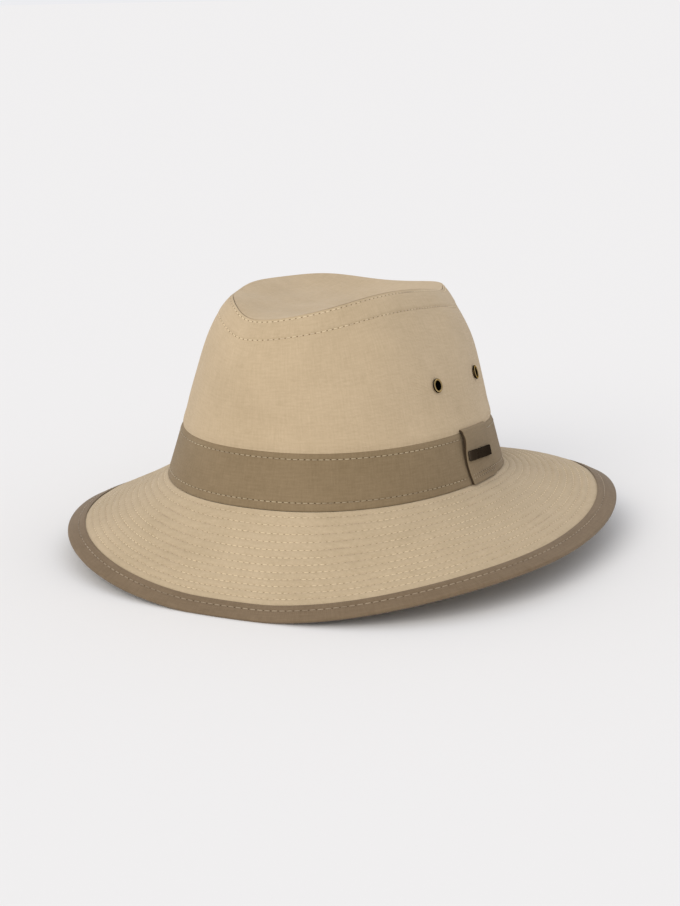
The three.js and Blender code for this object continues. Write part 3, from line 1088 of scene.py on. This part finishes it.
def tab_outline(y):
    """The tab's section as (out from the band's face, up from its foot)."""
    head = band_height + clearance
    rises = [clearance + (band_height - clearance) * step / tab_rise_steps
             for step in range(tab_rise_steps)]
    inner = [(tab_off(y, rise / band_height), rise) for rise in rises]
    wall = tab_wall * (tab_middle_wall - tab_wall_taper * y / tab_width)
    outer = [(out + wall, rise) for out, rise in inner]
    turn_centre = (clearance, head)
    over = []
    for step in range(tab_fold_steps + 1):
        turn = math.pi / 2 * step / tab_fold_steps
        out = turn_centre[0] + wall * math.cos(turn)
        over.append((out, turn_centre[1] + wall * math.sin(turn)))
    tail = [(-band_wall, head + wall), (-band_wall, head), (clearance, head)]
    return outer + over + tail + inner[::-1]


def tab_point(y, out, rise):
    share = rise / band_height
    front = 0.5 - y / tab_width
    bowed = y - tab_bow * front * math.sin(math.pi * min(1, max(0, share)))
    return band_side(bowed, share) + band_side_outward(bowed, share) * out


def tab_place(column, row):
    y = tab_width * (column / tab_columns - 0.5)
    outline = tab_outline(y)
    out, rise = outline[row % len(outline)]
    return tab_point(y, out, rise), (y, rise + 0.1 * out)


band_tab = cloth_grid("band_tab_cloth", tab_columns, len(tab_outline(0)), tab_place)
bpy.context.view_layer.objects.active = band_tab
bpy.ops.object.mode_set(mode="EDIT")
bpy.ops.mesh.select_all(action="DESELECT")
bpy.ops.mesh.select_non_manifold()
bpy.ops.mesh.edge_face_add()
bpy.ops.object.mode_set(mode="OBJECT")
face_outwards()
bevelled(band_tab, "soft_edges", soft_edge, 2)
wear(band_tab, taupe_cotton, "band_tab", slot="taupe_cotton")
# The thickness of its front edge is painted dark: painted shade of the fold.
band_tab.data.materials.append(taupe_shaded)
for face in band_tab.data.polygons:
    face.material_index = int(face.normal.y < -0.8)


def tab_row(rise):
    path = []
    for step in range(tab_row_steps + 1):
        y = tab_row_length * (step / tab_row_steps - 0.5)
        out = tab_off(y, rise / band_height) + tab_wall
        path.append((tab_point(y, out, rise), band_side_outward(y, rise / band_height)))
    return path, False


tab_rows = [tab_row(rise) for rise in tab_row_rises]
thread = sew("tab_stitches", tab_rows, tab_pitch, stitch_gap, tab_thread_radius)
wear(thread, band_thread, slot="taupe_cotton")
holes = needle_hole_shadows("tab_needle_holes", tab_rows, tab_pitch, tab_needle_radius)
wear(holes, taupe_shaded, slot="taupe_cotton")

# Tab plate
# A small stamped plate of dark oxidised bronze on the tab, with clipped corners and a bare face.
plate_length = 28.5 * mm
plate_height = 5.4 * mm
plate_wall = 0.9 * mm
plate_rise = 15.2 * mm
plate_forward = 3.2 * mm
plate_slope = math.tan(math.radians(2.5))
plate_clip = 0.7 * mm
plate_rim = 0.22 * mm
plate_parts = 24


def oxidised_metal(name, deep, bright, roughness):
    """Brass or bronze darkened by oxide: the metal shows where handling has rubbed it."""
    material, tree = bare_material(name)
    source = add_node(tree, "ShaderNodeTexCoord", {})
    cloud = add_node(tree, "ShaderNodeTexNoise", {
        "Vector": source.outputs["Object"], "Scale": 420, "Detail": 4, "Roughness": 0.6,
    })
    worn = add_node(tree, "ShaderNodeNewGeometry", {})
    edge = add_node(tree, "ShaderNodeMapRange", {
        "Value": worn.outputs["Pointiness"], "From Min": 0.49, "From Max": 0.56,
    })
    rubbed = add_node(tree, "ShaderNodeMath", {
        0: cloud.outputs["Fac"], 1: 0.5, 2: edge.outputs["Result"],
    }, operation="MULTIPLY_ADD", use_clamp=True)
    colour = add_node(tree, "ShaderNodeMix", {
        0: rubbed.outputs[0], 6: hex_colour(deep), 7: hex_colour(bright),
    }, data_type="RGBA")
    gloss = add_node(tree, "ShaderNodeMapRange", {
        "Value": cloud.outputs["Fac"], "To Min": roughness - 0.08, "To Max": roughness + 0.1,
    })
    bump = add_node(tree, "ShaderNodeBump", {
        "Height": cloud.outputs["Fac"], "Strength": 0.2, "Distance": 0.06 * mm,
    })
    finish_shader(tree, {
        "Base Color": colour.outputs[2], "Metallic": 1, "Specular Tint": hex_colour(bright),
        "Roughness": gloss.outputs["Result"], "Normal": bump.outputs["Normal"],
    })
    return material


bpy.ops.object.select_all(action="DESELECT")
bpy.ops.mesh.primitive_cube_add(size=1, scale=(plate_length, plate_height, plate_wall))
tab_plate = bpy.context.object
tab_plate.name = "tab_plate_metal"
bpy.ops.object.transform_apply(location=False, rotation=False, scale=True)
weights = tab_plate.data.attributes.new("bevel_weight_edge", "FLOAT", "EDGE")
for edge in tab_plate.data.edges:
    ends = [tab_plate.data.vertices[i].co for i in edge.vertices]
    weights.data[edge.index].value = 1 if abs(ends[0].z - ends[1].z) > plate_wall / 2 else 0
bevelled(tab_plate, "clipped_corners", plate_clip, 4, "WEIGHT")
bevelled(tab_plate, "rim", plate_rim, 3)
bpy.ops.object.mode_set(mode="EDIT")
for step in range(1, plate_parts):
    bpy.ops.mesh.select_all(action="SELECT")
    cut_x = plate_length * (step / plate_parts - 0.5)
    bpy.ops.mesh.bisect(plane_co=(cut_x, 0, 0), plane_no=(1, 0, 0))
bpy.ops.object.mode_set(mode="OBJECT")
for vertex in tab_plate.data.vertices:
    y, up, out = vertex.co
    share = (plate_rise + up - y * plate_slope) / band_height
    along = y - plate_forward
    off = tab_off(along, share) + tab_wall + clearance + plate_wall / 2 + out
    vertex.co = laid @ (band_side(along, share) + band_side_outward(along, share) * off)
face_outwards()
bpy.ops.object.shade_smooth_by_angle(angle=math.radians(40))
dark_bronze = oxidised_metal("oxidised_bronze", "#2c2721", "#51483e", 0.46)
wear(tab_plate, dark_bronze, "tab_plate", slot="dark_bronze")

# Vent eyelets
# Aged brass eyelets: a rolled rim outside, a barrel through the cloth, a flat washer inside.
eyelet_rim = 0.8 * mm
washer_radius = 3.6 * mm
eyelet_seat = 0.45 * mm
eyelet_sides = 48
rolled_steps = 12
worn_edge = 0.25 * mm


def eyelet_profile():
    """Half the eyelet's section as (radius, height above the cloth), closed."""
    barrel = eyelet_bore + eyelet_wall
    crown_of_rim = (eyelet_radius + eyelet_bore) / 2
    half = (eyelet_radius - eyelet_bore) / 2
    rolled = []
    for step in range(rolled_steps + 1):
        turn = math.pi * step / rolled_steps
        rolled.append((crown_of_rim + half * math.cos(turn), eyelet_rim * math.sin(turn)))
    outside = [(r, eyelet_seat + up) for r, up in rolled]
    inside = -(crown_wall + eyelet_seat)
    return outside + [
        (eyelet_bore, inside - eyelet_wall),
        (washer_radius, inside - eyelet_wall),
        (washer_radius, inside),
        (barrel, inside),
        (barrel, eyelet_seat),
    ]


# The bore with the rim's inner lip, and the rim's outer foot, are painted near black as shade, and
# the crest of the rim is worn bright.
aged_brass = oxidised_metal("aged_brass", "#4a3b27", "#b59d70", 0.24)
shade_painted_brass = oxidised_metal("shade_painted_brass", "#0d0a07", "#1c1610", 0.5)
for name, place in eyelet_places.items():
    profile = [(r, 0, up) for r, up in eyelet_profile()]
    count = len(profile)
    mesh = bpy.data.meshes.new(f"{name}_metal")
    mesh.from_pydata(profile, [(i, (i + 1) % count) for i in range(count)], [])
    eyelet = bpy.data.objects.new(f"{name}_metal", mesh)
    bpy.context.collection.objects.link(eyelet)
    bpy.context.view_layer.objects.active = eyelet
    turning = eyelet.modifiers.new("turned", "SCREW")
    turning.steps = eyelet_sides
    turning.render_steps = eyelet_sides
    turning.use_merge_vertices = True
    turning.merge_threshold = 0.001 * mm
    bpy.ops.object.modifier_apply(modifier=turning.name)
    bpy.ops.object.select_all(action="DESELECT")
    eyelet.select_set(True)
    face_outwards()
    # Faces off the crest of the rim take the near-black painted shade.
    painted_shade_faces = []
    for face in eyelet.data.polygons:
        radius = face.center.xy.length
        painted_shade_faces.append(not eyelet_bore + worn_edge < radius < eyelet_radius - worn_edge)
    eyelet.data.transform(turned_to(place))
    bpy.ops.object.shade_smooth_by_angle(angle=math.radians(40))
    wear(eyelet, aged_brass, name, slot="antique_brass")
    eyelet.data.materials.append(shade_painted_brass)
    for face, dark in zip(eyelet.data.polygons, painted_shade_faces):
        face.material_index = int(dark)

# Floor, light and camera
# A pale seamless floor under even white light, with one broad soft light from the front left.
bpy.ops.object.select_all(action="DESELECT")
bpy.ops.mesh.primitive_plane_add(size=400)
floor = bpy.context.object
floor.name = "studio_floor"
paper, paper_tree = bare_material("pale_paper")
finish_shader(paper_tree, {
    "Base Color": hex_colour("#eaeaea"), "Roughness": 1, "Specular IOR Level": 0,
})
floor.data.materials.append(paper)

key_azimuth = math.radians(-6)
key_elevation = math.radians(34)
key = bpy.data.lights.new("key_light", "SUN")
key.angle = math.radians(40)
key.energy = 1.22
key.color = hex_colour("#fff8ee")[:3]
key_light = bpy.data.objects.new("key_light", key)
bpy.context.collection.objects.link(key_light)
level = math.cos(key_elevation)
key_x = math.sin(key_azimuth) * level
key_y = -math.cos(key_azimuth) * level
key_side = Vector((key_x, key_y, math.sin(key_elevation)))
key_light.rotation_euler = key_side.to_track_quat("Z", "Y").to_euler()

world = bpy.data.worlds.new("studio")
world.use_nodes = True
sky = world.node_tree.nodes["Background"]
sky.inputs["Color"].default_value = hex_colour("#fbfbfe")
sky.inputs["Strength"].default_value = 0.88
bpy.context.scene.world = world
bpy.context.scene.view_settings.view_transform = "Standard"

photo_width = 680
photo_height = 906
focal_pixels = 1688
principal_pixel = (339.3, 430.5)
camera_place = Vector((0.4113, -0.8202, 0.2948))
camera_azimuth = 26.865
camera_elevation = 14.431
camera_roll = -1.244
lens = bpy.data.cameras.new("camera")
lens.sensor_fit = "HORIZONTAL"
lens.sensor_width = 36
lens.lens = focal_pixels / photo_width * lens.sensor_width
lens.shift_x = (photo_width / 2 - principal_pixel[0]) / photo_width
lens.shift_y = (principal_pixel[1] - photo_height / 2) / photo_width
camera = bpy.data.objects.new("camera", lens)
bpy.context.collection.objects.link(camera)
turn = Matrix.Rotation(math.radians(camera_azimuth), 4, "Z")
tilt = Matrix.Rotation(math.radians(90 - camera_elevation), 4, "X")
roll = Matrix.Rotation(math.radians(camera_roll), 4, "Z")
camera.matrix_world = Matrix.Translation(camera_place) @ turn @ tilt @ roll
bpy.context.scene.camera = camera
